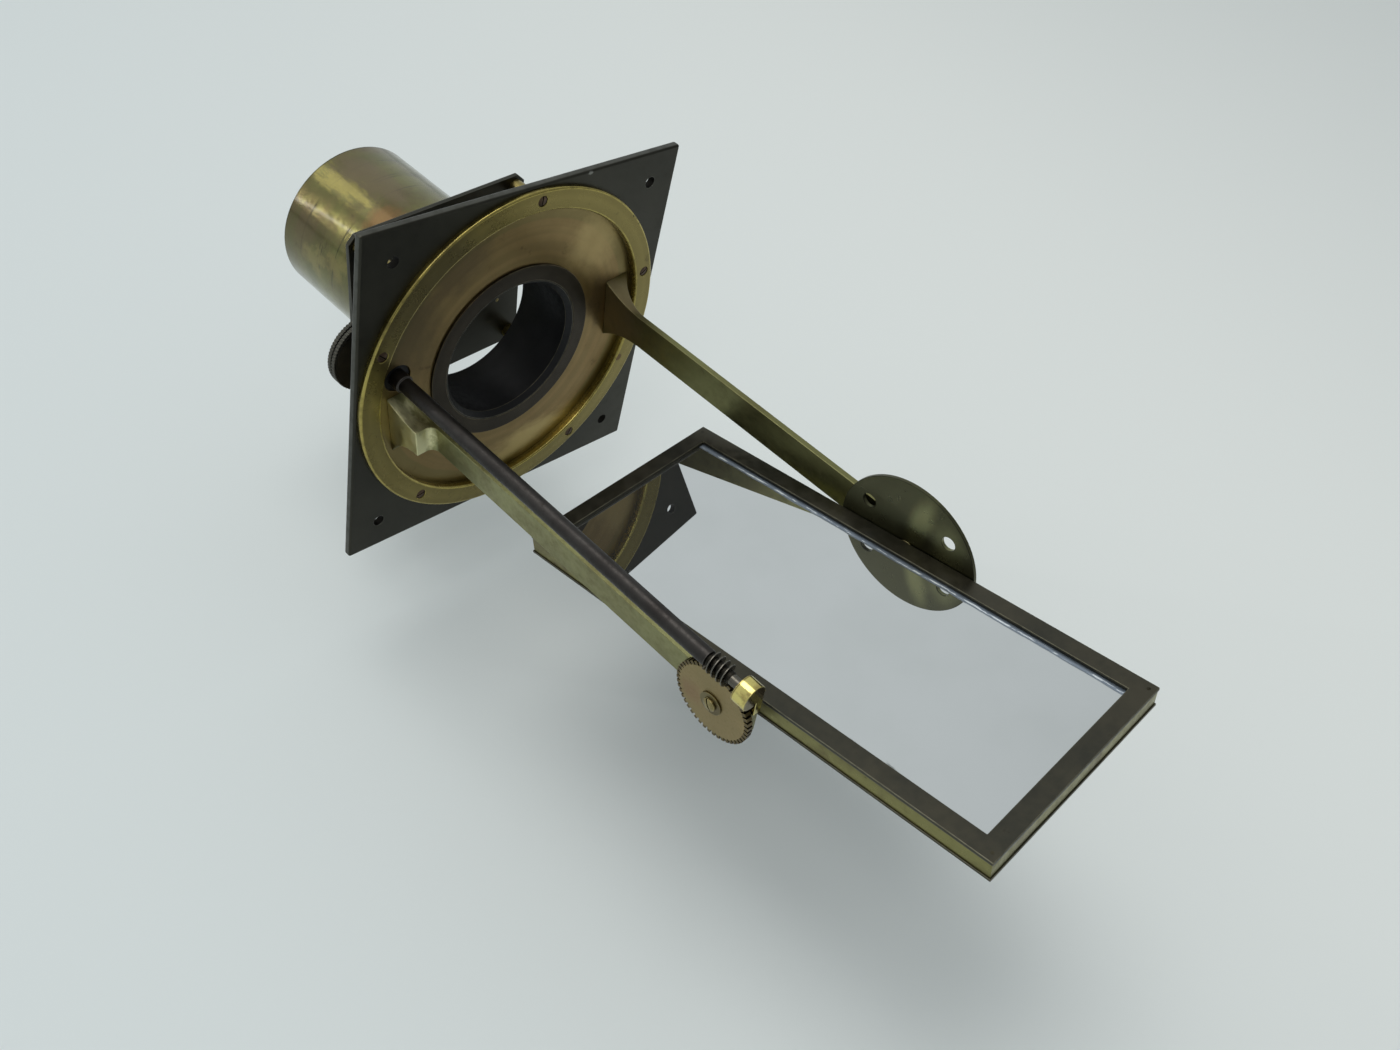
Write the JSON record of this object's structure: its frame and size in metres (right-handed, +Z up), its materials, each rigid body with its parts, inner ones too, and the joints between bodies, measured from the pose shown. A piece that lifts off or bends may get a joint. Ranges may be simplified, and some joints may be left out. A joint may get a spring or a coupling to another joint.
{
  "type": "solar microscope",
  "caption": "Square window plate with a turning disc and two arms that hold a framed mirror tilted by a worm and wheel, and a tube on a pillared stage plate behind.",
  "frame": {"origin": "centre of the window plate's outer face, on the optical axis", "axes": "+Y along the optical axis into the room, -Y towards the sun and the mirror, +Z up, +X to the right seen from the sun's side"},
  "size_m": [0.152, 0.3846, 0.152],
  "materials": {
    "bronzed_plate": "old bronzed brass, nearly black, satin",
    "lacquered_ring": "lacquered brass gone olive, satin, worn edges",
    "disc_brass": "lathe-turned brass under coppery lacquer, satin",
    "blackened_brass": "blackened inside face, dull",
    "arm_brass": "filed brass under greenish lacquer, satin",
    "tube_brass": "rolled brass tube under blotchy lacquer, glossy",
    "wheel_brass": "tan brass with a thin patina, satin",
    "polished_brass": "brass worn bright by handling, glossy",
    "steady_brass": "turned brass under lacquer, satin",
    "rim_brass": "lacquered brass strip, olive, satin",
    "rod_steel": "steel gone purple-brown, satin",
    "screw_steel": "dark steel screws, satin",
    "screw_brass": "slotted brass screws, satin",
    "mirror_silver": "silvered plate glass",
    "lens_glass": "clear ground lens",
    "board_wood": "thin deal board, bare"
  },
  "bodies": {
    "plate": {"window_plate": "bronzed_plate", "retaining_ring": "lacquered_ring", "ring_screws": "screw_steel"},
    "turntable": {"turning_disc": "disc_brass", "aperture_collar": "blackened_brass", "short_tube": "blackened_brass", "left_arm": "arm_brass", "right_arm": "arm_brass", "arm_screws": "screw_brass", "rod_bush": "bronzed_plate", "rod_end_bearing": "polished_brass", "bearing_screw": "screw_brass", "stage_pillars": "arm_brass", "stage_plate": "bronzed_plate", "stage_screws": "screw_brass", "tube_flange": "tube_brass", "flange_screws": "screw_brass", "rear_tube": "tube_brass", "condenser_cell": "blackened_brass", "condenser_lens": "lens_glass", "cell_ring": "blackened_brass"},
    "tilt_rod": {"worm_rod": "rod_steel", "worm": "rod_steel", "tilt_knob": "blackened_brass", "knob_screw": "screw_brass"},
    "mirror": {"mirror_bezel": "bronzed_plate", "mirror_rim": "rim_brass", "mirror_back": "bronzed_plate", "mirror_glass": "mirror_silver", "backing_board": "board_wood", "bezel_pins": "screw_brass", "mirror_spindle": "arm_brass", "worm_wheel": "wheel_brass", "wheel_washer": "wheel_brass", "wheel_screw": "screw_brass", "right_stub": "arm_brass", "steady_disc": "steady_brass", "disc_screws": "screw_brass", "disc_spacer": "arm_brass", "pivot_screw": "screw_brass"}
  },
  "joints": [
    {"name": "disc_turn", "type": "hinge", "parent": "plate", "child": "turntable", "pos_m": [0, 0.003, 0], "axis": [0, 1, 0], "continuous": true},
    {"name": "mirror_tilt", "type": "hinge", "parent": "turntable", "child": "mirror", "pos_m": [0.00048, -0.1698, -0.00327], "axis": [0.9895, 0, 0.1444], "continuous": true},
    {"name": "rod_spin", "type": "hinge", "parent": "turntable", "child": "tilt_rod", "pos_m": [-0.05582, 0.004, 0.00784], "axis": [0, 1, 0], "continuous": true}
  ],
  "couplings": [
    {"joint": "rod_spin", "follows": "mirror_tilt", "ratio": 46}
  ]
}
